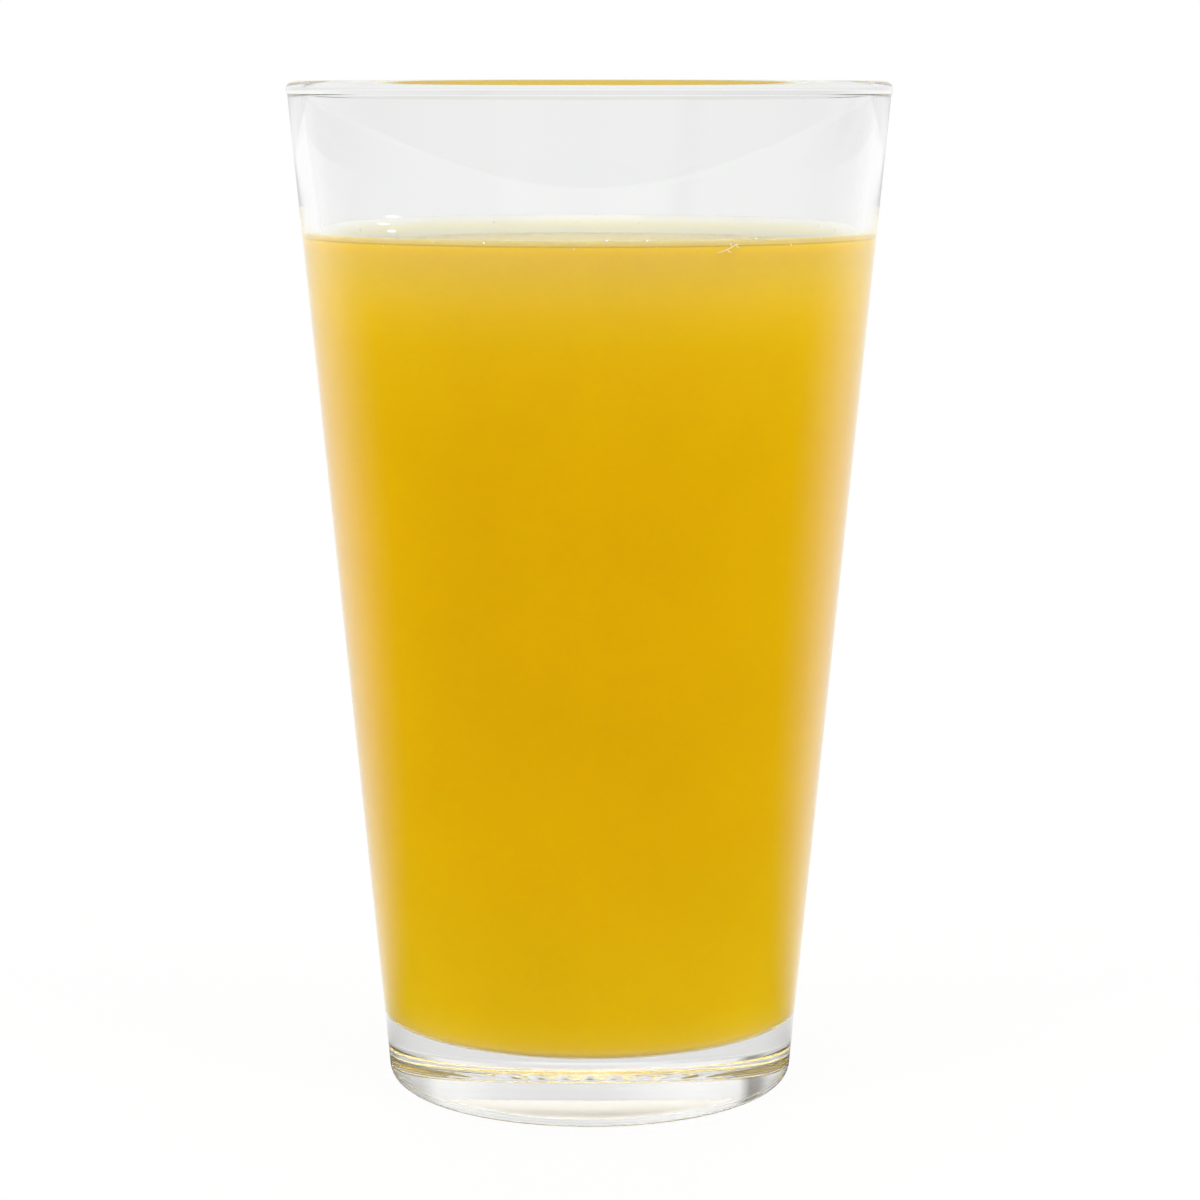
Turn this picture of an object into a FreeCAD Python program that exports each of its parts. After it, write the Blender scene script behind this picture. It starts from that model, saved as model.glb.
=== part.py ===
import FreeCAD, Part
import math
import os
import Sketcher
from FreeCAD import Placement, Vector

# A tapered pint glass filled with pineapple juice, in millimetres.
# +Z is up along the glass's own axis; the origin is on the table, under the middle of the base.
# Every section is drawn in the XZ plane: across is the radius, up is the height.

# Driving dimensions: alias, value, what it measures.
DIMENSIONS = [
    ("glassHeight", 150.0, "table to the top of the rim"),
    ("rimRadius", 44.45, "widest point of the bead at the rim"),
    ("beadRadius", 1.25, "round section of the fire-polished bead"),
    ("beadProud", 0.22, "how far the bead stands out from the wall"),
    ("neckRound", 0.6, "hollow blend from the bead into the wall"),
    ("baseRadius", 30.2, "outer wall carried straight down to the table"),
    ("heelRound", 2.6, "rounding between the wall and the underside"),
    ("rimWall", 2.1, "wall thickness just under the bead"),
    ("floorWall", 5.4, "wall thickness at the inner floor"),
    ("floorHeight", 10.1, "table to the inner floor: the thick base"),
    ("floorRound", 1.3, "inner corner between the floor and the wall"),
    ("hollowRadius", 22.0, "edge of the shallow hollow under the base"),
    ("hollowDepth", 1.6, "depth of that hollow at the axis"),
    ("ridgeGap", 0.8, "width of the scallop between two ridges of the bearing ring"),
    ("ridgeDepth", 0.35, "depth of those scallops"),
    ("ridgeMargin", 0.35, "plain edge left each side of the ridges"),
    ("ridgeCount", 96, "ridges round the bearing ring"),
    ("juiceHeight", 128.35, "table to where the juice meets the wall"),
    ("climbHeight", 2.8, "how far the juice climbs the wall above its level"),
    ("climbWidth", 4.2, "how far in from the wall that climb begins"),
]

# Radii and heights that follow from them, as expressions of the sheet.
BEAD_HEIGHT = "(Sizes.glassHeight - Sizes.beadRadius)"
WALL_TOP = "(Sizes.rimRadius - Sizes.beadProud)"
MOUTH = f"({WALL_TOP} - Sizes.rimWall)"
OUTER_NECK = f"({BEAD_HEIGHT} - sqrt(Sizes.beadRadius ^ 2 - (Sizes.beadRadius - Sizes.beadProud) ^ 2))"
INNER_NECK = (
    f"({BEAD_HEIGHT} - sqrt(Sizes.beadRadius ^ 2"
    " - (Sizes.rimWall + Sizes.beadProud - Sizes.beadRadius) ^ 2))"
)
WALL_SLOPE = f"(({WALL_TOP} - Sizes.baseRadius) / {OUTER_NECK})"
FLOOR = f"(Sizes.baseRadius + {WALL_SLOPE} * Sizes.floorHeight - Sizes.floorWall)"
CAVITY_SLOPE = f"(({MOUTH} - {FLOOR}) / ({INNER_NECK} - Sizes.floorHeight))"
CONTACT = f"({FLOOR} + {CAVITY_SLOPE} * (Sizes.juiceHeight - Sizes.floorHeight))"
HEEL_FOOT = f"(Sizes.baseRadius - Sizes.heelRound * (1 - {WALL_SLOPE}))"
RIDGE_INNER = "(Sizes.hollowRadius + Sizes.ridgeMargin)"
RIDGE_OUTER = f"({HEEL_FOOT} - Sizes.ridgeMargin)"
RIDGE_CENTRE = (
    f"((Sizes.ridgeDepth ^ 2 - (({RIDGE_OUTER} - {RIDGE_INNER}) / 2) ^ 2)"
    " / (2 * Sizes.ridgeDepth))"
)
CLIMB_EDGE = f"({CONTACT} - Sizes.climbWidth)"
LEVEL = "(Sizes.juiceHeight - Sizes.climbHeight)"

START, END, CENTRE = 1, 2, 3  # the points of a sketch edge
ON_AXIS = {"across": -2, "up": -1}  # the sketch axis on which that coordinate is zero
DISTANCE = {"across": "DistanceX", "up": "DistanceY"}
RING_TOLERANCE = 1e-4


def make_sheet(doc):
    """One row for each driving dimension, read by its alias."""
    sheet = doc.addObject("Spreadsheet::Sheet", "Sizes")
    for row, (alias, value, meaning) in enumerate(DIMENSIONS, start=1):
        sheet.set(f"A{row}", alias)
        sheet.set(f"B{row}", str(value))
        sheet.set(f"C{row}", meaning)
        sheet.setAlias(f"B{row}", alias)
    doc.recompute()
    return sheet


def make_body(doc, name):
    body = doc.addObject("PartDesign::Body", name.capitalize())
    body.Label = name
    body.Placement = Placement()
    return body


def make_sketch(body, name):
    """Empty sketch on the body's own XZ plane."""
    plane = next(item for item in body.Origin.OriginFeatures if item.Role == "XZ_Plane")
    sketch = body.newObject("Sketcher::SketchObject", name)
    sketch.AttachmentSupport = [(plane, "")]
    sketch.MapMode = "FlatFace"
    return sketch


def value_of(sketch, expression):
    return float(sketch.evalExpression(expression))


def hold(sketch, edge, point, name, axis, expression):
    """Hold one coordinate of a point to an expression; "0" puts the point on the axis itself."""
    if expression == "0":
        sketch.addConstraint(Sketcher.Constraint("PointOnObject", edge, point, ON_AXIS[axis]))
        return
    value = value_of(sketch, expression)
    index = sketch.addConstraint(Sketcher.Constraint(DISTANCE[axis], edge, point, value))
    sketch.renameConstraint(index, name)
    sketch.setExpression(f"Constraints.{name}", expression)


def arc_between(start, end, turn, axis, held):
    """Arc from start to end, turning left or right, whose centre has one coordinate held."""
    middle, chord = (start + end) / 2, end - start
    if axis == "across":
        centre = Vector(held, middle.y - (held - middle.x) * chord.x / chord.y, 0)
    else:
        centre = Vector(middle.x - (held - middle.y) * chord.y / chord.x, held, 0)
    angles = [math.atan2(point.y - centre.y, point.x - centre.x) for point in (start, end)]
    if turn == "right":
        angles.reverse()
    circle = Part.Circle(centre, Vector(0, 0, 1), (start - centre).Length)
    return Part.ArcOfCircle(circle, *angles)


def draw_section(sketch, corners, arcs):
    """Closed outline through the corners {name: (across, up)}, in order.

    The edge that leaves a corner is straight, unless arcs gives it as
    (turn, axis, expression): an arc that turns left or right about a centre
    with that coordinate. Returns the places of the corners as numbers.
    """
    places = {
        name: (value_of(sketch, across), value_of(sketch, up))
        for name, (across, up) in corners.items()
    }
    points = [Vector(*place, 0) for place in places.values()]
    chain = []
    for name, start, end in zip(corners, points, points[1:] + points[:1]):
        if name in arcs:
            turn, axis, expression = arcs[name]
            curve = arc_between(start, end, turn, axis, value_of(sketch, expression))
            ends = (START, END) if turn == "left" else (END, START)
        else:
            curve, ends = Part.LineSegment(start, end), (START, END)
        chain.append((sketch.addGeometry(curve), *ends))
    for (edge, _, last), (following, first, _) in zip(chain, chain[1:] + chain[:1]):
        sketch.addConstraint(Sketcher.Constraint("Coincident", edge, last, following, first))
    for (edge, first, _), (name, (across, up)) in zip(chain, corners.items()):
        hold(sketch, edge, first, name + "Across", "across", across)
        hold(sketch, edge, first, name + "Up", "up", up)
        if name in arcs:
            _, axis, expression = arcs[name]
            hold(sketch, edge, CENTRE, name + "Centre", axis, expression)
    return places


def revolve(body, name, sketch):
    """Turn a section once round the glass's axis."""
    turned = body.newObject("PartDesign::Revolution", name)
    turned.Profile = sketch
    turned.ReferenceAxis = (sketch, ["V_Axis"])
    turned.Angle = 360.0
    body.Document.recompute()
    return turned


def round_rings(body, name, base, radius, places):
    """Round the rings that the revolve makes of the given corners (across, up)."""
    rings = [
        f"Edge{number}"
        for number, edge in enumerate(base.Shape.Edges, start=1)
        if not edge.Degenerated and edge.Closed
        for across, up in places
        if abs(math.hypot(edge.Vertexes[0].X, edge.Vertexes[0].Y) - across) < RING_TOLERANCE
        and abs(edge.Vertexes[0].Z - up) < RING_TOLERANCE
    ]
    if len(rings) != len(places):
        raise RuntimeError(f"{name}: {len(rings)} rings found for {len(places)} corners")
    fillet = body.newObject("PartDesign::Fillet", name)
    fillet.Base = (base, rings)
    fillet.setExpression("Radius", radius)
    body.Document.recompute()
    return fillet


def make_ridges(body, turned_section):
    """Fine radial ridges on the ring that the glass stands on: one scallop between two, repeated."""
    scallop = make_sketch(body, "ScallopSection")
    draw_section(
        scallop,
        {"scallopOuter": (RIDGE_OUTER, "0"), "scallopInner": (RIDGE_INNER, "0")},
        arcs={"scallopOuter": ("left", "up", RIDGE_CENTRE)},
    )
    before = body.Shape.Volume
    cut = body.newObject("PartDesign::Pocket", "Scallop")
    cut.Profile = scallop
    cut.SideType = "Symmetric"
    cut.setExpression("Length", "Sizes.ridgeGap")
    body.Document.recompute()
    one = before - body.Shape.Volume

    ring = body.newObject("PartDesign::PolarPattern", "Ridges")
    ring.Originals = [cut]
    ring.Axis = (turned_section, ["V_Axis"])
    ring.Angle = 360.0
    ring.setExpression("Occurrences", "Sizes.ridgeCount")
    body.Tip = ring
    body.Document.recompute()
    print(f"one scallop {one:.3f} mm3, the ring {before - body.Shape.Volume:.2f} mm3")


def make_glass(doc):
    """Thick base, tapering wall and round bead in one turned section, then the roundings."""
    body = make_body(doc, "glass")
    section = make_sketch(body, "GlassSection")
    corners = draw_section(
        section,
        {
            "hollowEdge": ("Sizes.hollowRadius", "0"),
            "hollowTop": ("0", "Sizes.hollowDepth"),
            "floorMiddle": ("0", "Sizes.floorHeight"),
            "floorEdge": (FLOOR, "Sizes.floorHeight"),
            "innerNeck": (MOUTH, INNER_NECK),
            "outerNeck": (WALL_TOP, OUTER_NECK),
            "heel": ("Sizes.baseRadius", "0"),
        },
        arcs={
            "hollowEdge": ("left", "across", "0"),
            "innerNeck": ("right", "up", BEAD_HEIGHT),
        },
    )
    glass = revolve(body, "WallAndBase", section)
    necks = [corners["innerNeck"], corners["outerNeck"]]
    glass = round_rings(body, "Neck", glass, "Sizes.neckRound", necks)
    glass = round_rings(body, "FloorCorner", glass, "Sizes.floorRound", [corners["floorEdge"]])
    round_rings(body, "Heel", glass, "Sizes.heelRound", [corners["heel"]])
    make_ridges(body, section)
    return body


def make_juice(doc):
    """Fills the glass from its floor, wall to wall, and clings to the wall at the top."""
    body = make_body(doc, "juice")
    section = make_sketch(body, "JuiceSection")
    corners = draw_section(
        section,
        {
            "levelMiddle": ("0", LEVEL),
            "climbEdge": (CLIMB_EDGE, LEVEL),
            "contact": (CONTACT, "Sizes.juiceHeight"),
            "floorEdge": (FLOOR, "Sizes.floorHeight"),
            "floorMiddle": ("0", "Sizes.floorHeight"),
        },
        arcs={"climbEdge": ("left", "across", CLIMB_EDGE)},
    )
    fill = revolve(body, "Fill", section)
    round_rings(body, "FillCorner", fill, "Sizes.floorRound", [corners["floorEdge"]])
    return body


def check(doc, bodies):
    """Stop on a failed feature, a loose sketch or a broken solid."""
    for item in doc.Objects:
        if "Invalid" in item.State or "Error" in item.State:
            raise RuntimeError(f"{item.Name} failed: {item.State}")
        if item.TypeId == "Sketcher::SketchObject" and item.solve() != 0:
            raise RuntimeError(f"{item.Name} does not solve")
    for body in bodies:
        shape = body.Shape
        if shape.isNull() or not shape.isValid() or len(shape.Solids) != 1:
            raise RuntimeError(f"{body.Label} is not one valid solid")
        print(f"{body.Label}: {shape.Volume / 1000:.1f} cm3, {shape.BoundBox}")


def main():
    doc = FreeCAD.newDocument("JuiceGlass")
    make_sheet(doc)
    bodies = [make_glass(doc), make_juice(doc)]
    doc.recompute()
    check(doc, bodies)
    os.makedirs("parts", exist_ok=True)
    for body in bodies:
        body.Shape.exportStep(f"parts/{body.Label}.step")


main()
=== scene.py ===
import math
import bmesh
import bpy
import numpy as np
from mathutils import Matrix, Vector


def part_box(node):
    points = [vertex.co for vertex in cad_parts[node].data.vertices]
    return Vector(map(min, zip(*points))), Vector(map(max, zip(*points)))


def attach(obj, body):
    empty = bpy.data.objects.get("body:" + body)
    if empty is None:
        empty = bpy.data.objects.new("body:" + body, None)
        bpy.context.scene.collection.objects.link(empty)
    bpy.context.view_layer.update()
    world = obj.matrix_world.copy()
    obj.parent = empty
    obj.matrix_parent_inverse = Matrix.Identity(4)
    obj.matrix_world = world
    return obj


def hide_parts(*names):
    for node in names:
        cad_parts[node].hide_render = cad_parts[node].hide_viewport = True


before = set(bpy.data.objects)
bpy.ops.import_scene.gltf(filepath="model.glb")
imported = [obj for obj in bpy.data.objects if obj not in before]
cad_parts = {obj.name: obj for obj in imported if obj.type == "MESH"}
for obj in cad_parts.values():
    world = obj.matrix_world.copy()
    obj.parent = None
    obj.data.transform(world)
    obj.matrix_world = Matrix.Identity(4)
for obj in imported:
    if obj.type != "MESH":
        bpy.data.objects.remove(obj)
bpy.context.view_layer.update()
mm = 0.001

glassLow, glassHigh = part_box("glass")
juiceLow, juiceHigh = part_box("juice")
rimHeight, rimRadius = glassHigh.z, glassHigh.x
floorHeight = juiceLow.z  # the inner floor, which the juice lies on
contactHeight, contactRadius = juiceHigh.z, juiceHigh.x  # where the juice meets the wall
print("frame loaded: rim radius", round(rimRadius / mm, 2), "mm, height", round(rimHeight / mm, 2), "mm")


# shapes
def arcAbout(centre, radius, startAngle, endAngle, count):
    # points of a circle: centre plus radius times cosine and sine of the angle, from start to end
    angles = np.linspace(startAngle, endAngle, count)
    return np.stack([centre[0] + radius * np.cos(angles), centre[1] + radius * np.sin(angles)], axis=1)


def archRadius(reach, rise):
    # radius of the arc that starts level and rises by rise over reach: the sum of both squares,
    # over twice the rise
    return (reach**2 + rise**2) / (2 * rise)


def shortTurn(start, end):
    # the angle from one direction to another, the short way round
    angle = math.atan2(end[1], end[0]) - math.atan2(start[1], start[0])
    return (angle + math.pi) % (2 * math.pi) - math.pi


def roundedCorner(before, corner, after, radius, count):
    # the arc that touches both straight edges of a corner: its centre is on the bisector,
    # radius over the sine of the half angle away from the corner
    before, corner, after = (np.array(point, float) for point in (before, corner, after))
    toBefore = (before - corner) / np.linalg.norm(before - corner)
    toAfter = (after - corner) / np.linalg.norm(after - corner)
    half = 0.5 * math.acos(toBefore @ toAfter)
    bisector = (toBefore + toAfter) / np.linalg.norm(toBefore + toAfter)
    centre = corner + bisector * radius / math.sin(half)
    start = corner + toBefore * radius / math.tan(half) - centre
    end = corner + toAfter * radius / math.tan(half) - centre
    startAngle = math.atan2(start[1], start[0])
    return arcAbout(centre, radius, startAngle, startAngle + shortTurn(start, end), count)


def straight(start, end, count):
    # evenly spaced points between two points, without the ends
    steps = np.linspace(0, 1, count + 2)[1:-1, None]
    return np.array(start) * (1 - steps) + np.array(end) * steps


def newPiece(name, verts, faces):
    mesh = bpy.data.meshes.new(name)
    mesh.from_pydata(verts.tolist(), [], faces)
    mesh.polygons.foreach_set("use_smooth", np.full(len(mesh.polygons), True))
    mesh.update()
    piece = bpy.data.objects.new(name, mesh)
    bpy.context.scene.collection.objects.link(piece)
    return piece


def turnedSurface(name, profile, segments, lift=None):
    # a solid of revolution: (radius, height) points turned round the z axis, the two ends being on it.
    # lift(radius, height, angle) gives a small change of height over the whole grid
    angles = np.arange(segments) * (2 * math.pi / segments)
    radius, height = profile[1:-1, :1], profile[1:-1, 1:]
    raised = height + (lift(radius, height, angles) if lift else 0)
    grid = np.stack(np.broadcast_arrays(radius * np.cos(angles), radius * np.sin(angles), raised), axis=2)
    index = np.arange(len(radius) * segments).reshape(-1, segments)
    beside = np.roll(index, -1, axis=1)
    quads = np.stack([index[:-1], beside[:-1], beside[1:], index[1:]], axis=2).reshape(-1, 4)
    poles = [[0, 0, profile[0][1]], [0, 0, profile[-1][1]]]
    startPole = np.full(segments, index.size)
    startFan = np.stack([startPole, beside[0], index[0]], axis=1)
    endFan = np.stack([startPole + 1, index[-1], beside[-1]], axis=1)
    verts = np.concatenate([grid.reshape(-1, 3), poles])
    return newPiece(name, verts, startFan.tolist() + quads.tolist() + endFan.tolist())


def ballShape(detail):
    shape = bmesh.new()
    bmesh.ops.create_icosphere(shape, subdivisions=detail, radius=1)
    verts = np.array([vert.co[:] for vert in shape.verts])
    faces = np.array([[vert.index for vert in face.verts] for face in shape.faces])
    shape.free()
    return verts, faces


def joinedCopies(name, copies, faces):
    # one piece of many copies of a shape: copies holds every copy's points, faces one copy's faces
    steps = np.arange(copies.shape[0]) * copies.shape[1]
    allFaces = (faces[None] + steps[:, None, None]).reshape(-1, 3)
    return newPiece(name, copies.reshape(-1, 3), allFaces.tolist())


# materials
def newMaterial(name):
    material = bpy.data.materials.new(name)
    material.use_nodes = True
    nodes, links = material.node_tree.nodes, material.node_tree.links
    return material, nodes, links, nodes["Principled BSDF"]


def plainMaterial(name, colour, roughness):
    material, nodes, links, shader = newMaterial(name)
    shader.inputs["Base Color"].default_value = colour
    shader.inputs["Roughness"].default_value = roughness
    return material


def mathNode(nodes, links, operation, *sources):
    node = nodes.new("ShaderNodeMath")
    node.operation = operation
    for socket, source in zip(node.inputs, sources):
        if isinstance(source, (int, float)):
            socket.default_value = source
        else:
            links.new(source, socket)
    return node.outputs[0]


def vectorNode(nodes, links, operation, source):
    node = nodes.new("ShaderNodeVectorMath")
    node.operation = operation
    links.new(source, node.inputs[0])
    return node


def objectPlace(nodes):
    return nodes.new("ShaderNodeTexCoord").outputs["Object"]


def splitPlace(nodes, links, place):
    parts = nodes.new("ShaderNodeSeparateXYZ")
    links.new(place, parts.inputs[0])
    return parts.outputs["X"], parts.outputs["Y"], parts.outputs["Z"]


def softStep(nodes, links, value, low, high, lowResult=0.0, highResult=1.0):
    # a smooth ramp of a value between two limits
    step = nodes.new("ShaderNodeMapRange")
    step.interpolation_type = "SMOOTHSTEP"
    step.inputs["From Min"].default_value = low
    step.inputs["From Max"].default_value = high
    step.inputs["To Min"].default_value = lowResult
    step.inputs["To Max"].default_value = highResult
    links.new(value, step.inputs["Value"])
    return step.outputs["Result"]


def mixColours(nodes, links, factor, first, second):
    mix = nodes.new("ShaderNodeMix")
    mix.data_type = "RGBA"
    links.new(factor, mix.inputs["Factor"])
    for name, source in (("A", first), ("B", second)):
        socket = [item for item in mix.inputs if item.name == name and item.type == "RGBA"][0]
        if isinstance(source, tuple):
            socket.default_value = source
        else:
            links.new(source, socket)
    return [item for item in mix.outputs if item.type == "RGBA"][0]


def mixShaders(nodes, links, share, first, second):
    mix = nodes.new("ShaderNodeMixShader")
    links.new(share, mix.inputs["Fac"])
    links.new(first, mix.inputs[1])
    links.new(second, mix.inputs[2])
    links.new(mix.outputs["Shader"], nodes["Material Output"].inputs["Surface"])


def fillRamp(ramp, stops):
    # gives a colour ramp its stops, as (position, colour)
    elements = ramp.color_ramp.elements
    while len(elements) < len(stops):
        elements.new(0.5)
    for element, (position, colour) in zip(elements, stops):
        element.position = position
        element.color = colour


def mirroredRays(nodes, links, path):
    # rays that a surface throws back, without those that pass through it
    glossy, reflected = path.outputs["Is Glossy Ray"], path.outputs["Is Reflection Ray"]
    return mathNode(nodes, links, "MULTIPLY", glossy, reflected)


def letLightThrough(nodes, links, shader, tint):
    # lamps shine through clear pieces: shadow rays see a plain tint in place of the shader
    clear = nodes.new("ShaderNodeBsdfTransparent")
    clear.inputs["Color"].default_value = tint
    path = nodes.new("ShaderNodeLightPath")
    mixShaders(nodes, links, path.outputs["Is Shadow Ray"], shader.outputs["BSDF"], clear.outputs["BSDF"])


# the glass
glass = {
    "beadRadius": 1.25 * mm,
    "beadProud": 0.22 * mm,
    "neckRound": 0.6 * mm,
    "baseRadius": 30.2 * mm,
    "heelRound": 2.6 * mm,
    "rimWall": 2.1 * mm,
    "floorWall": 5.4 * mm,
    "floorRound": 1.3 * mm,
    "hollowRadius": 22.0 * mm,
    "hollowDepth": 1.6 * mm,
    "ridgeCount": 96,
    "ridgeDepth": 0.35 * mm,
    "ridgeMargin": 0.35 * mm,
    "ridgeSteepness": 3,
    "unevenness": 0.35,  # share by which the ridges' depth swings
    "unevenWaves": (7, 23),  # swings round the ring
    "crackle": 0.03 * mm,
    "crackleWaves": (211, 83, 900),  # round the ring, round it again, and per millimetre across it
    "heelShare": 0.906,  # how far the heel's rounding reaches in over the standing ring, in radii
    "ringTop": 0.01 * mm,  # what lies lower belongs to the standing ring
    "points": {  # of the section's curves and straight lines
        "hollow": 14, "ring": 16, "heel": 14, "wall": 8, "neck": 7, "bead": 30, "corner": 10, "floor": 4,
    },
    "segments": 768,
    "body": (0.965, 0.97, 0.965, 1),
    "shadowTint": (0.97, 0.975, 0.97, 1),
    "refraction": 1.52,
}


def glassLines(size):
    # corner points of the wall's section, outside and inside, as (radius, height)
    beadHeight = rimHeight - size["beadRadius"]
    beadMiddle = np.array([rimRadius - size["beadRadius"], beadHeight])
    wallTop = rimRadius - size["beadProud"]
    mouth = wallTop - size["rimWall"]
    outerNeck = beadHeight - math.sqrt(size["beadRadius"] ** 2 - (wallTop - beadMiddle[0]) ** 2)
    innerNeck = beadHeight - math.sqrt(size["beadRadius"] ** 2 - (mouth - beadMiddle[0]) ** 2)
    slope = (wallTop - size["baseRadius"]) / outerNeck
    floorEdge = size["baseRadius"] + slope * floorHeight - size["floorWall"]
    return {
        "beadMiddle": beadMiddle,
        "outerTop": np.array([wallTop, outerNeck]),
        "outerFoot": np.array([size["baseRadius"], 0.0]),
        "innerTop": np.array([mouth, innerNeck]),
        "innerFoot": np.array([floorEdge, floorHeight]),
    }


def wallRadius(height):
    # radius of the inner wall at a height: along the straight line from its foot to its top
    lines = glassLines(glass)
    foot, top = lines["innerFoot"], lines["innerTop"]
    return foot[0] + (top[0] - foot[0]) * (height - foot[1]) / (top[1] - foot[1])


def neckBlend(foot, top, beadMiddle, size, side):
    # the hollow arc that touches the wall's line and the bead: its centre is one neck radius off the
    # wall and both radii from the middle of the bead
    wall = (top - foot) / np.linalg.norm(top - foot)
    off = np.array([wall[1], -wall[0]]) * side
    start = top + off * size["neckRound"] - beadMiddle
    reach = size["neckRound"] + size["beadRadius"]
    along = start @ wall
    back = -along - math.sqrt(along**2 - start @ start + reach**2)
    centre = beadMiddle + start + wall * back
    toWall, toBead = -off, (beadMiddle - centre) / reach
    startAngle = math.atan2(toWall[1], toWall[0])
    endAngle = startAngle + shortTurn(toWall, toBead)
    return arcAbout(centre, size["neckRound"], startAngle, endAngle, size["points"]["neck"])


def glassProfile(size):
    # underside hollow, standing ring, heel, outer wall, bead, inner wall, inner floor
    lines, points = glassLines(size), size["points"]
    middle = lines["beadMiddle"]
    curve = archRadius(size["hollowRadius"], size["hollowDepth"])
    sweep = math.asin(size["hollowRadius"] / curve)
    hollow = arcAbout(
        (0, size["hollowDepth"] - curve), curve, math.pi / 2, math.pi / 2 - sweep, points["hollow"])
    heel = roundedCorner(
        (0, 0), lines["outerFoot"], lines["outerTop"], size["heelRound"], points["heel"])
    corner = roundedCorner(
        lines["innerTop"], lines["innerFoot"], (0, floorHeight), size["floorRound"], points["corner"])
    outerNeck = neckBlend(lines["outerFoot"], lines["outerTop"], middle, size, 1)
    innerNeck = neckBlend(lines["innerFoot"], lines["innerTop"], middle, size, -1)
    first, last = outerNeck[-1] - middle, innerNeck[-1] - middle
    startAngle = math.atan2(first[1], first[0])
    sweep = shortTurn(first, last) % (2 * math.pi)
    bead = arcAbout(middle, size["beadRadius"], startAngle, startAngle + sweep, points["bead"])
    return np.concatenate([
        hollow,
        straight(hollow[-1], heel[0], points["ring"]),
        heel,
        straight(heel[-1], outerNeck[0], points["wall"]),
        outerNeck[:-1],
        bead,
        innerNeck[-2::-1],
        straight(innerNeck[0], corner[0], points["wall"]),
        corner,
        straight(corner[-1], (0, floorHeight), points["floor"]),
        [(0, floorHeight)],
    ])


def ridgeLift(radius, height, angle):
    # scallops in the standing ring: an arch across it times a soft square wave round it,
    # whose depth swings a little, and a fine crackle
    inner = glass["hollowRadius"] + glass["ridgeMargin"]
    outer = glass["baseRadius"] - glass["heelRound"] * glass["heelShare"] - glass["ridgeMargin"]
    across = np.clip((radius - inner) * (outer - radius) * 4 / (outer - inner) ** 2, 0, 1)
    wave = 0.5 + 0.5 * np.tanh(glass["ridgeSteepness"] * np.cos(glass["ridgeCount"] * angle))
    slow, fast = glass["unevenWaves"]
    uneven = 1 + glass["unevenness"] * np.sin(slow * angle + 1) * np.sin(fast * angle)
    fine, coarse, outward = glass["crackleWaves"]
    swing = np.sin(fine * angle + outward * radius / mm) * np.sin(coarse * angle + 2)
    lift = across * (glass["ridgeDepth"] * wave * uneven + glass["crackle"] * (1 + swing))
    return np.where(height < glass["ringTop"], lift, 0)


def glassMaterial(look):
    material, nodes, links, shader = newMaterial("clearGlass")
    shader.inputs["Base Color"].default_value = look["body"]
    shader.inputs["Roughness"].default_value = 0.0
    shader.inputs["IOR"].default_value = look["refraction"]
    shader.inputs["Transmission Weight"].default_value = 1.0
    letLightThrough(nodes, links, shader, look["shadowTint"])
    return material


glassPiece = turnedSurface("glassVessel", glassProfile(glass), glass["segments"], ridgeLift)
glassPiece.data.materials.append(glassMaterial(glass))
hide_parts("glass")
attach(glassPiece, "root")
print("glass made:", len(glassPiece.data.polygons), "faces")


# the juice: its body, with the hollow curve that climbs the wall at the top
juice = {
    "climbHeight": 2.8 * mm,
    "climbWidth": 4.2 * mm,
    "intoWall": 0.1 * mm,
    "sharpAngle": math.radians(60),  # the edge where the top meets the wall stays sharp
    "topFacing": 0.05,  # faces that look up by more than this get the top's material
    "points": {"floor": 6, "corner": 10, "wall": 60, "climb": 24, "top": 24},
    "segments": 384,
    # the juice's colour by height: paler near the floor and towards the top, painted light where light
    # enters the juice
    "tonesWithPaintedLight": [  # height above the table, colour
        (10 * mm, (0.52, 0.45, 0.32, 1)),
        (10.6 * mm, (0.71, 0.51, 0.10, 1)),
        (12 * mm, (0.73, 0.495, 0.012, 1)),
        (16 * mm, (0.725, 0.475, 0.001, 1)),
        (45 * mm, (0.695, 0.42, 0.0, 1)),
        (95 * mm, (0.695, 0.42, 0.0, 1)),
        (113 * mm, (0.715, 0.46, 0.0, 1)),
        (118 * mm, (0.74, 0.49, 0.012, 1)),
        (122 * mm, (0.735, 0.51, 0.045, 1)),
        (126 * mm, (0.71, 0.505, 0.085, 1)),
    ],
    "cloudiness": 0.12,
    "cloudScale": 45.0,
    "cloudDetail": 3.0,
    "paintedLightBand": (0.49, 0.35, 0.26, 1),  # the climbing edge seen through the wall, paler: painted light coming through its thin juice
    "bandHeight": 0.85 * mm,
    "bandSoftness": (0.3 * mm, 0.5 * mm),  # of its lower border: below and above
    "paintedShadeLine": (0.26, 0.24, 0.06, 1),  # a painted shade line along that border
    "lineWidth": 0.2 * mm,
    "lineShare": 0.5,
    "paintedLightInReflections": (0.46, 0.39, 0.22, 1),  # painted light: a paler juice colour shown only in the foot's reflections, for light the thick foot carries onto the juice
    "paintedLightInReflectionsShare": 0.8,
    "againstGlass": 0.8816,  # the juice's index over the glass's: the wall mirrors it at a shallow angle
    "sideScatter": (1.0, 0.9, 0.25),
    "sideSpread": 2 * mm,
    "top": (0.80, 0.56, 0.03, 1),
    "thin": (0.84, 0.815, 0.66, 1),  # the climbing edge, so thin that light comes through it: painted light
    "thinReach": (-1 * mm, 1.5 * mm),  # outward from the foot of the climb: where it begins and is full
    "thinnest": (0.82, 0.82, 0.78, 1),  # its very top, palest: painted light
    "thinnestReach": (-1.6 * mm, -0.2 * mm),  # below the contact height: where it begins and is full
    "refraction": 1.34,
    "topScatter": (1.0, 0.9, 0.7),
    "topSpread": 1.5 * mm,
}
juiceLevel = contactHeight - juice["climbHeight"]
climbEdge = contactRadius - juice["climbWidth"]
climbRadius = archRadius(juice["climbWidth"], juice["climbHeight"])


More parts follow.
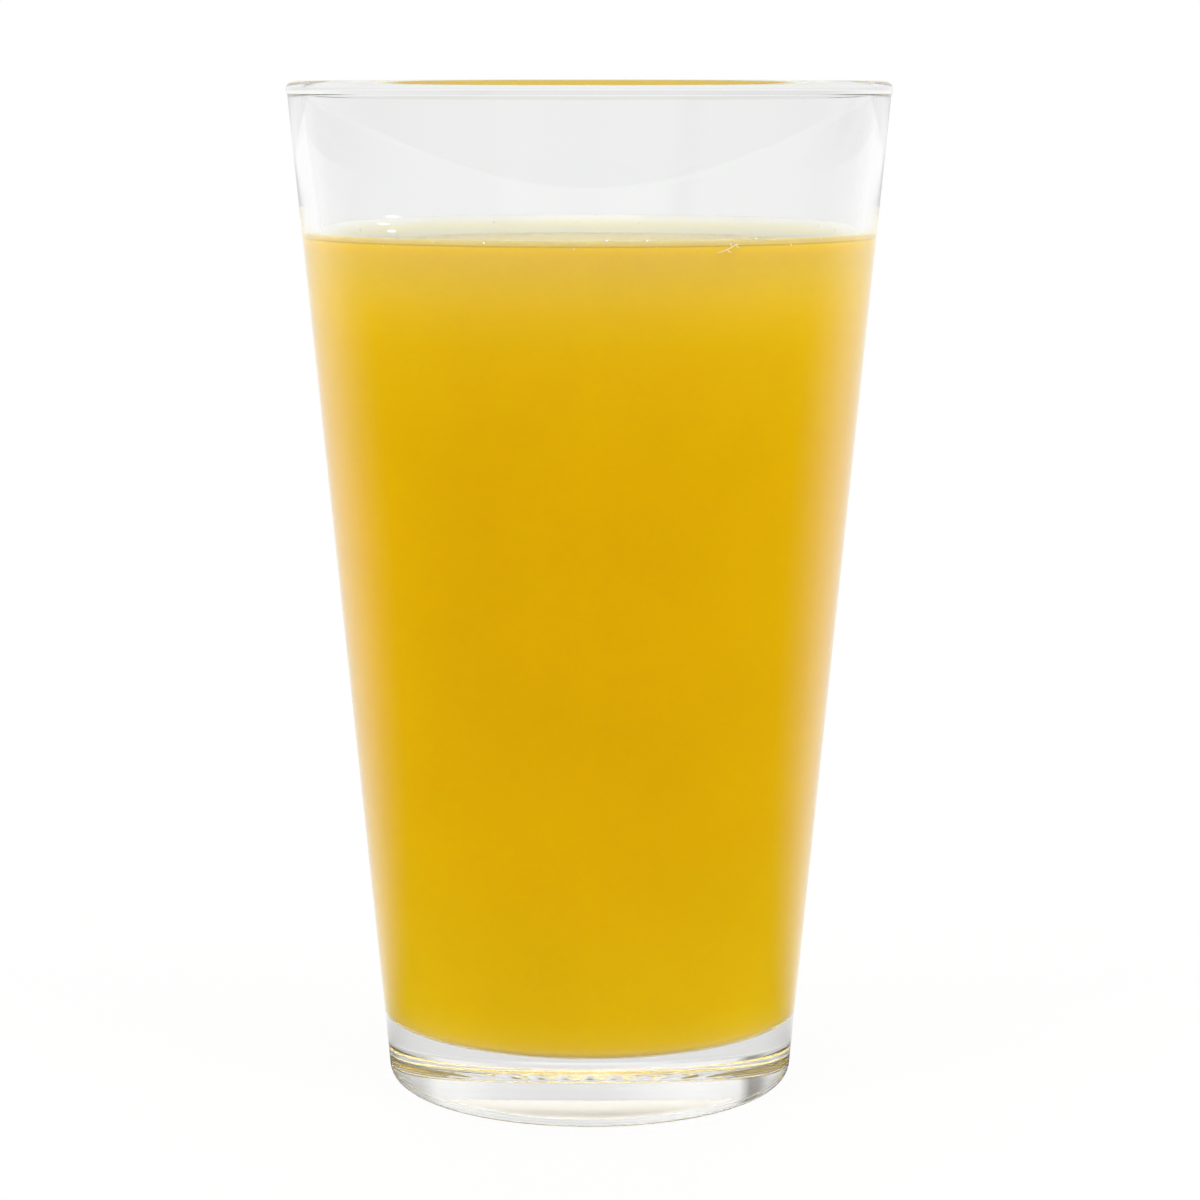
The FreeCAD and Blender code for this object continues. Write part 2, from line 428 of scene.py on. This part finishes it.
def makeBody(size):
    # inner floor, rounded corner, wall, hollow climb, flat top; sides and floor reach into the glass
    lines, points = glassLines(glass), size["points"]
    foot, top = lines["innerFoot"], lines["innerTop"]
    slope = (top[0] - foot[0]) / (top[1] - foot[1])
    floorLow = floorHeight - size["intoWall"]
    low = (foot[0] + size["intoWall"] - slope * size["intoWall"], floorLow)
    high = (contactRadius + size["intoWall"], contactHeight)
    corner = roundedCorner((0, floorLow), low, high, glass["floorRound"], points["corner"])
    sweep = math.asin(size["climbWidth"] / climbRadius)
    middle = (climbEdge, juiceLevel + climbRadius)
    climb = arcAbout(middle, climbRadius, sweep - math.pi / 2, -math.pi / 2, points["climb"])
    profile = np.concatenate([
        [(0, floorLow)],
        straight((0, floorLow), corner[0], points["floor"]),
        corner,
        straight(corner[-1], high, points["wall"]),
        [high],
        climb,
        straight(climb[-1], (0, juiceLevel), points["top"]),
        [(0, juiceLevel)],
    ])
    piece = turnedSurface("juiceBody", profile, size["segments"])
    mesh = piece.data
    facing = np.empty(len(mesh.polygons) * 3)
    mesh.polygons.foreach_get("normal", facing)
    mesh.polygons.foreach_set("material_index", (facing[2::3] > size["topFacing"]).astype(np.int32))
    mesh.set_sharp_from_angle(angle=size["sharpAngle"])
    return piece


def juiceToneGroup(look):
    # the juice's colour by height, paler near the floor and towards the top as painted light where light
    # enters it, with a faint cloudiness, and the height itself
    group = bpy.data.node_groups.new("juiceTone", "ShaderNodeTree")
    group.interface.new_socket("Cloudiness", in_out="INPUT", socket_type="NodeSocketFloat")
    group.interface.new_socket("Color", in_out="OUTPUT", socket_type="NodeSocketColor")
    group.interface.new_socket("Height", in_out="OUTPUT", socket_type="NodeSocketFloat")
    nodes, links = group.nodes, group.links
    entry, leave = nodes.new("NodeGroupInput"), nodes.new("NodeGroupOutput")
    place = objectPlace(nodes)
    _, _, z = splitPlace(nodes, links, place)
    low, high = look["tonesWithPaintedLight"][0][0], look["tonesWithPaintedLight"][-1][0]
    upward = nodes.new("ShaderNodeMapRange")
    upward.inputs["From Min"].default_value = low
    upward.inputs["From Max"].default_value = high
    links.new(z, upward.inputs["Value"])
    ramp = nodes.new("ShaderNodeValToRGB")
    ramp.color_ramp.interpolation = "B_SPLINE"
    fillRamp(ramp, [((height - low) / (high - low), colour) for height, colour in look["tonesWithPaintedLight"]])
    links.new(upward.outputs["Result"], ramp.inputs["Fac"])
    cloud = nodes.new("ShaderNodeTexNoise")
    cloud.inputs["Scale"].default_value = look["cloudScale"]
    cloud.inputs["Detail"].default_value = look["cloudDetail"]
    links.new(place, cloud.inputs["Vector"])
    swing = mathNode(nodes, links, "SUBTRACT", cloud.outputs["Fac"], 0.5)
    cloudy = mathNode(nodes, links, "MULTIPLY", swing, entry.outputs["Cloudiness"])
    scaled = vectorNode(nodes, links, "SCALE", ramp.outputs["Color"])
    links.new(mathNode(nodes, links, "ADD", cloudy, 1.0), scaled.inputs["Scale"])
    links.new(scaled.outputs["Vector"], leave.inputs["Color"])
    links.new(z, leave.inputs["Height"])
    return group


def juiceMaterial(name, toneGroup, cloudiness, refraction, scatter, spread):
    material, nodes, links, shader = newMaterial(name)
    tone = nodes.new("ShaderNodeGroup")
    tone.node_tree = toneGroup
    tone.inputs["Cloudiness"].default_value = cloudiness
    shader.inputs["Roughness"].default_value = 0.0
    shader.inputs["IOR"].default_value = refraction
    shader.inputs["Subsurface Weight"].default_value = 1.0
    shader.inputs["Subsurface Radius"].default_value = scatter
    shader.inputs["Subsurface Scale"].default_value = spread
    return material, nodes, links, shader, tone


def sideMaterial(look, toneGroup):
    # body colour up the wall, then the edge band of painted light, with a fine painted shade line under it
    material, nodes, links, shader, tone = juiceMaterial(
        "juiceSide", toneGroup, look["cloudiness"],
        look["againstGlass"], look["sideScatter"], look["sideSpread"])
    z = tone.outputs["Height"]
    line = contactHeight - look["bandHeight"]
    below, over = look["bandSoftness"]
    above = softStep(nodes, links, z, line - below, line + over)
    # painted light in the band along the climbing edge, then a painted shade line under it
    banded = mixColours(nodes, links, above, tone.outputs["Color"], look["paintedLightBand"])
    off = mathNode(nodes, links, "ABSOLUTE", mathNode(nodes, links, "SUBTRACT", z, line))
    near = softStep(nodes, links, off, 0.0, look["lineWidth"], look["lineShare"], 0.0)
    lined = mixColours(nodes, links, near, banded, look["paintedShadeLine"])
    # painted light: in reflections the juice takes a paler colour
    mirrored = mirroredRays(nodes, links, nodes.new("ShaderNodeLightPath"))
    share = mathNode(nodes, links, "MULTIPLY", mirrored, look["paintedLightInReflectionsShare"])
    links.new(mixColours(nodes, links, share, lined, look["paintedLightInReflections"]), shader.inputs["Base Color"])
    return material


def topMaterial(look, toneGroup):
    # the flat top has one colour; it turns pale towards the wall, and palest where it ends: painted light
    # coming through the thin climbing edge
    material, nodes, links, shader, tone = juiceMaterial(
        "juiceTop", toneGroup, look["cloudiness"],
        look["refraction"], look["topScatter"], look["topSpread"])
    flat = vectorNode(nodes, links, "MULTIPLY", objectPlace(nodes))
    flat.inputs[1].default_value = (1, 1, 0)
    radius = vectorNode(nodes, links, "LENGTH", flat.outputs["Vector"]).outputs["Value"]
    # painted light: paler towards the wall, palest at the top of the climbing edge
    begin, full = look["thinReach"]
    thin = softStep(nodes, links, radius, climbEdge + begin, climbEdge + full)
    pale = mixColours(nodes, links, thin, look["top"], look["thin"])
    begin, full = look["thinnestReach"]
    ending = softStep(nodes, links, tone.outputs["Height"], contactHeight + begin, contactHeight + full)
    links.new(mixColours(nodes, links, ending, pale, look["thinnest"]), shader.inputs["Base Color"])
    return material


juiceBody = makeBody(juice)
toneGroup = juiceToneGroup(juice)
juiceBody.data.materials.append(sideMaterial(juice, toneGroup))
juiceBody.data.materials.append(topMaterial(juice, toneGroup))
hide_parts("juice")
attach(juiceBody, "root")
print("juice made: level at", round(juiceLevel / mm, 2), "mm")


# the bubbles along the juice's edge
bubbles = {
    "seed": 11,
    "floating": 14,
    "floatingRadius": (0.1 * mm, 0.22 * mm),
    "floatingGap": (1.5, 6.0),  # distance from the wall, in their own radii
    "clinging": 24,
    "clingingRadius": (0.11 * mm, 0.18 * mm),
    "clingingDepth": (-0.1 * mm, 1.3 * mm),
    "detail": 3,
    "colour": (0.93, 0.93, 0.87, 1),
    "roughness": 0.2,
}


def makeBubbles(look):
    random = np.random.default_rng(look["seed"])
    # some float half sunk on the climbing edge: its height is the arc's, at their distance from the foot
    floating = random.uniform(*look["floatingRadius"], look["floating"])
    away = contactRadius - floating * random.uniform(*look["floatingGap"], look["floating"])
    afloat = juiceLevel + climbRadius - np.sqrt(climbRadius**2 - (away - climbEdge) ** 2)
    # others cling to the wall just under the line
    clinging = random.uniform(*look["clingingRadius"], look["clinging"])
    low = contactHeight - random.uniform(*look["clingingDepth"], look["clinging"])
    radii = np.concatenate([floating, clinging])
    away = np.concatenate([away, wallRadius(low)])
    heights = np.concatenate([afloat, low])
    angles = random.uniform(0, 2 * math.pi, len(radii))
    centres = np.stack([away * np.cos(angles), away * np.sin(angles), heights], axis=1)
    verts, faces = ballShape(look["detail"])
    return joinedCopies("edgeBubbles", verts * radii[:, None, None] + centres[:, None], faces)


# a fibre of pulp, lying against the wall
fibre = {
    "angle": math.radians(-62),
    "height": 127.1 * mm,
    "thickness": 0.08 * mm,
    "tipShare": 0.5,  # how thick the ends of a strand are
    "rounding": 3,
    "strands": [  # its branches: (along the wall, up) in millimetres
        [(-1.6, -0.5), (-0.9, -0.35), (-0.2, -0.1), (0.5, 0.25), (1.1, 0.55), (1.6, 0.6)],
        [(-0.2, -0.1), (0.1, -0.35), (0.5, -0.5)],
        [(0.5, 0.25), (0.4, 0.55), (0.2, 0.75)],
        [(1.1, 0.55), (1.35, 0.3), (1.7, 0.2)],
    ],
    "colour": (0.86, 0.77, 0.46, 1),
    "roughness": 0.5,
}


def makeFibre(look):
    # every strand is a round line laid on the wall's cone
    curve = bpy.data.curves.new("pulpFibre", "CURVE")
    curve.dimensions = "3D"
    curve.bevel_depth = look["thickness"]
    curve.bevel_resolution = look["rounding"]
    curve.use_fill_caps = True
    for strand in look["strands"]:
        along, up = np.array(strand).T * mm
        height = look["height"] + up
        radius = wallRadius(height) + juice["intoWall"]
        angle = look["angle"] + along / radius
        thickness = np.ones(len(strand))
        thickness[[0, -1]] = look["tipShare"]
        weight = np.ones(len(strand))
        places = np.stack([radius * np.cos(angle), radius * np.sin(angle), height, weight], axis=1)
        spline = curve.splines.new("POLY")
        spline.points.add(len(strand) - 1)
        spline.points.foreach_set("co", places.ravel())
        spline.points.foreach_set("radius", thickness)
    piece = bpy.data.objects.new("pulpFibre", curve)
    bpy.context.scene.collection.objects.link(piece)
    return piece


# droplets on the wall above the juice, white so that they show as glints: painted highlights
droplets = {
    "angle": math.radians(-132),
    "places": [(0.0, 1.0, 0.9), (-1.3, 2.0, 1.3), (0.4, 3.0, 1.5)],  # mm: along, above the edge, half width
    "height": 0.2 * mm,
    "thick": 0.12 * mm,
    "sunk": 0.03 * mm,
    "detail": 4,
    # white and dull, standing in for glints on clear water: painted highlights
    "colour": (0.97, 0.98, 0.97, 1),
    "roughness": 0.1,
}


def makeDropletGlints(look):
    # flat beads drawn round the inner wall: thick on the inside of it, and sunk a little into it
    verts, faces = ballShape(look["detail"])
    outward, sideways, upward = verts.T
    along, above, halfWidth = (part[:, None] for part in np.array(look["places"]).T)
    height = contactHeight + above * mm + upward * look["height"]
    radius = wallRadius(height) + outward * np.where(outward > 0, look["sunk"], look["thick"])
    angle = look["angle"] + (along + sideways * halfWidth) * mm / contactRadius
    copies = np.stack([radius * np.cos(angle), radius * np.sin(angle), height], axis=2)
    return joinedCopies("wallDropletGlints", copies, faces)


for piece, finish, look in (
        (makeBubbles(bubbles), "foam", bubbles),
        (makeFibre(fibre), "pulp", fibre),
        (makeDropletGlints(droplets), "dropletGlint", droplets)):
    piece.data.materials.append(plainMaterial(finish, look["colour"], look["roughness"]))
    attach(piece, "root")
print("bubbles, fibre and droplets made")


# the studio: white behind the glass, dark before and beside it in reflections, plain lamps
studio = {
    "ambient": 0.5,  # strength of the world on dull surfaces
    "cards": [  # X of an upward direction as a share of -1 to 1, level of the white rear there
        (0.12, 0.85), (0.155, 0.4), (0.185, 0.35), (0.22, 1.0), (0.33, 1.04), (0.40, 0.98), (0.47, 0.87),
        (0.555, 0.85), (0.65, 0.90), (0.72, 1.02), (0.79, 1.04), (0.84, 0.76), (0.92, 0.70),
    ],
    "cardsLow": 0.05,  # Z of a direction at which the cards begin to show
    "cardsHigh": 0.15,
    "sideNear": 0.1,  # X of a level direction at which the rear begins to grey
    "sideFar": 0.4,
    "sideLevel": 0.82,
    "rearEdge": 0.05,  # Y of a direction at which the white rear begins to show in reflections
    "rearFull": 0.75,  # Y of a direction from which it is fully white
    "rearLevel": 0.88,
    "floorReach": 3.0,
    "floorColour": (0.9, 0.9, 0.9, 1),
    "floorRoughness": 0.7,
    "floorGlow": 0.93,  # how much of the floor round the object is plain white, whatever falls on it
    "glowNear": 0.12,  # distances between which all of it becomes plain white
    "glowFar": 0.5,
    "paintedShadeNear": 0.06,  # distances between which the floor seen through the glass grows to plain white; nearer the object it is darker, a painted shade
    "paintedShadeFar": 0.25,
    "paintedShadeLevel": 0.8,
    "glossyBounces": 12,  # light runs a long way inside the thick foot
}


def makeWorld(look):
    world = bpy.data.worlds.new("studio")
    bpy.context.scene.world = world
    world.use_nodes = True
    nodes, links = world.node_tree.nodes, world.node_tree.links
    backdrop = nodes["Background"]
    across, rearward, up = splitPlace(nodes, links, nodes.new("ShaderNodeTexCoord").outputs["Generated"])
    path = nodes.new("ShaderNodeLightPath")
    camera, through = path.outputs["Is Camera Ray"], path.outputs["Is Transmission Ray"]
    # what shines up through the glass: white cards to the left and right, greyer between and beside them
    cards = nodes.new("ShaderNodeValToRGB")
    fillRamp(cards, [(place, (level, level, level, 1)) for place, level in look["cards"]])
    links.new(mathNode(nodes, links, "MULTIPLY_ADD", across, 0.5, 0.5), cards.inputs["Fac"])
    # and level: the rear, greyer to both sides
    aside = mathNode(nodes, links, "ABSOLUTE", across)
    beside = softStep(nodes, links, aside, look["sideNear"], look["sideFar"], 1.0, look["sideLevel"])
    lowDown = nodes.new("ShaderNodeCombineColor")
    for socket in lowDown.inputs:
        links.new(beside, socket)
    upward = softStep(nodes, links, up, look["cardsLow"], look["cardsHigh"])
    shone = mixColours(nodes, links, upward, lowDown.outputs["Color"], cards.outputs["Color"])
    links.new(mixColours(nodes, links, through, (1, 1, 1, 1), shone), backdrop.inputs["Color"])
    # plain white to the eye, the white rear in reflections, and half as bright on dull surfaces
    rear = softStep(nodes, links, rearward, look["rearEdge"], look["rearFull"])
    mirror = mathNode(nodes, links, "MULTIPLY", mirroredRays(nodes, links, path), rear)
    mirror = mathNode(nodes, links, "MULTIPLY", mirror, look["rearLevel"])
    dull = mathNode(nodes, links, "MULTIPLY", path.outputs["Is Diffuse Ray"], look["ambient"])
    seen = mathNode(nodes, links, "MAXIMUM", camera, through)
    level = mathNode(nodes, links, "MAXIMUM", mathNode(nodes, links, "MAXIMUM", dull, mirror), seen)
    links.new(level, backdrop.inputs["Strength"])


def makeFloor(look):
    reach = look["floorReach"]
    verts = np.array([(-reach, -reach, 0), (reach, -reach, 0), (reach, reach, 0), (-reach, reach, 0)])
    floor = newPiece("floor", verts, [[0, 1, 2, 3]])
    material, nodes, links, shader = newMaterial("paleFloor")
    shader.inputs["Base Color"].default_value = look["floorColour"]
    shader.inputs["Roughness"].default_value = look["floorRoughness"]
    shader.inputs["Specular IOR Level"].default_value = 0.0
    place = objectPlace(nodes)
    path = nodes.new("ShaderNodeLightPath")
    camera, through = path.outputs["Is Camera Ray"], path.outputs["Is Transmission Ray"]
    mirrored = mirroredRays(nodes, links, path)
    # the same white rear as in the world, by the direction from the middle of the floor
    towards = vectorNode(nodes, links, "NORMALIZE", place).outputs["Vector"]
    _, rearward, _ = splitPlace(nodes, links, towards)
    rear = softStep(nodes, links, rearward, look["rearEdge"], look["rearFull"])
    mirror = mathNode(nodes, links, "MULTIPLY", rear, mirrored)
    # the eye sees plain white, and through the glass a little less near the object: painted shade
    away = vectorNode(nodes, links, "LENGTH", place).outputs["Value"]
    # painted shade: the floor seen through the glass is darker near the object
    near = softStep(nodes, links, away, look["paintedShadeNear"], look["paintedShadeFar"], look["paintedShadeLevel"], 1.0)
    paintedShadeThrough = mathNode(nodes, links, "MULTIPLY", through, near)
    shown = mathNode(nodes, links, "MAXIMUM", camera, paintedShadeThrough)
    glow = nodes.new("ShaderNodeEmission")
    links.new(mathNode(nodes, links, "MAXIMUM", mirror, shown), glow.inputs["Strength"])
    # a share of the floor keeps its own colour, which takes the object's shadow
    plain = softStep(nodes, links, away, look["glowNear"], look["glowFar"], look["floorGlow"], 1.0)
    seen = mathNode(nodes, links, "MAXIMUM", camera, through)
    share = mathNode(nodes, links, "MAXIMUM", mathNode(nodes, links, "MULTIPLY", seen, plain), mirrored)
    mixShaders(nodes, links, share, shader.outputs["BSDF"], glow.outputs["Emission"])
    floor.data.materials.append(material)


lamps = {  # place, size across in metres, power in watts
    "leftLamp": ((-0.8, -0.5, 0.27), 0.6, 7.5),
    "rightLamp": ((0.8, -0.5, 0.27), 0.6, 7.5),
    "rearLamp": ((0.0, 0.95, 0.27), 0.6, 5.0),
    "topLamp": ((0.0, 0.0, 1.2), 0.8, 2.5),
}


def makeLamp(name, place, size, power):
    light = bpy.data.lights.new(name, "AREA")
    light.shape = "DISK"
    light.size = size
    light.energy = power
    lamp = bpy.data.objects.new(name, light)
    bpy.context.scene.collection.objects.link(lamp)
    lamp.location = place
    towards = Vector((0, 0, 0.5 * rimHeight)) - Vector(place)
    lamp.rotation_euler = towards.to_track_quat("-Z", "Y").to_euler()
    lamp.visible_glossy = False  # the white rear is what shines in the glass
    lamp.visible_transmission = False


view = {
    "distance": 0.5128,
    "height": 0.1475,
    "down": math.radians(8.262),
    "right": math.radians(0.174),
    "lens": 103.66,
    "sensor": 36,
    "nearest": 0.01,
}


def makeCamera(look):
    data = bpy.data.cameras.new("camera")
    data.lens = look["lens"]
    data.sensor_width = look["sensor"]
    data.clip_start = look["nearest"]
    camera = bpy.data.objects.new("camera", data)
    bpy.context.scene.collection.objects.link(camera)
    camera.location = (0, -look["distance"], look["height"])
    camera.rotation_euler = (math.pi / 2 - look["down"], 0, -look["right"])
    bpy.context.scene.camera = camera


makeWorld(studio)
makeFloor(studio)
for name, settings in lamps.items():
    makeLamp(name, *settings)
makeCamera(view)
bpy.context.scene.view_settings.view_transform = "Standard"
bpy.context.scene.cycles.glossy_bounces = studio["glossyBounces"]
print("studio made")
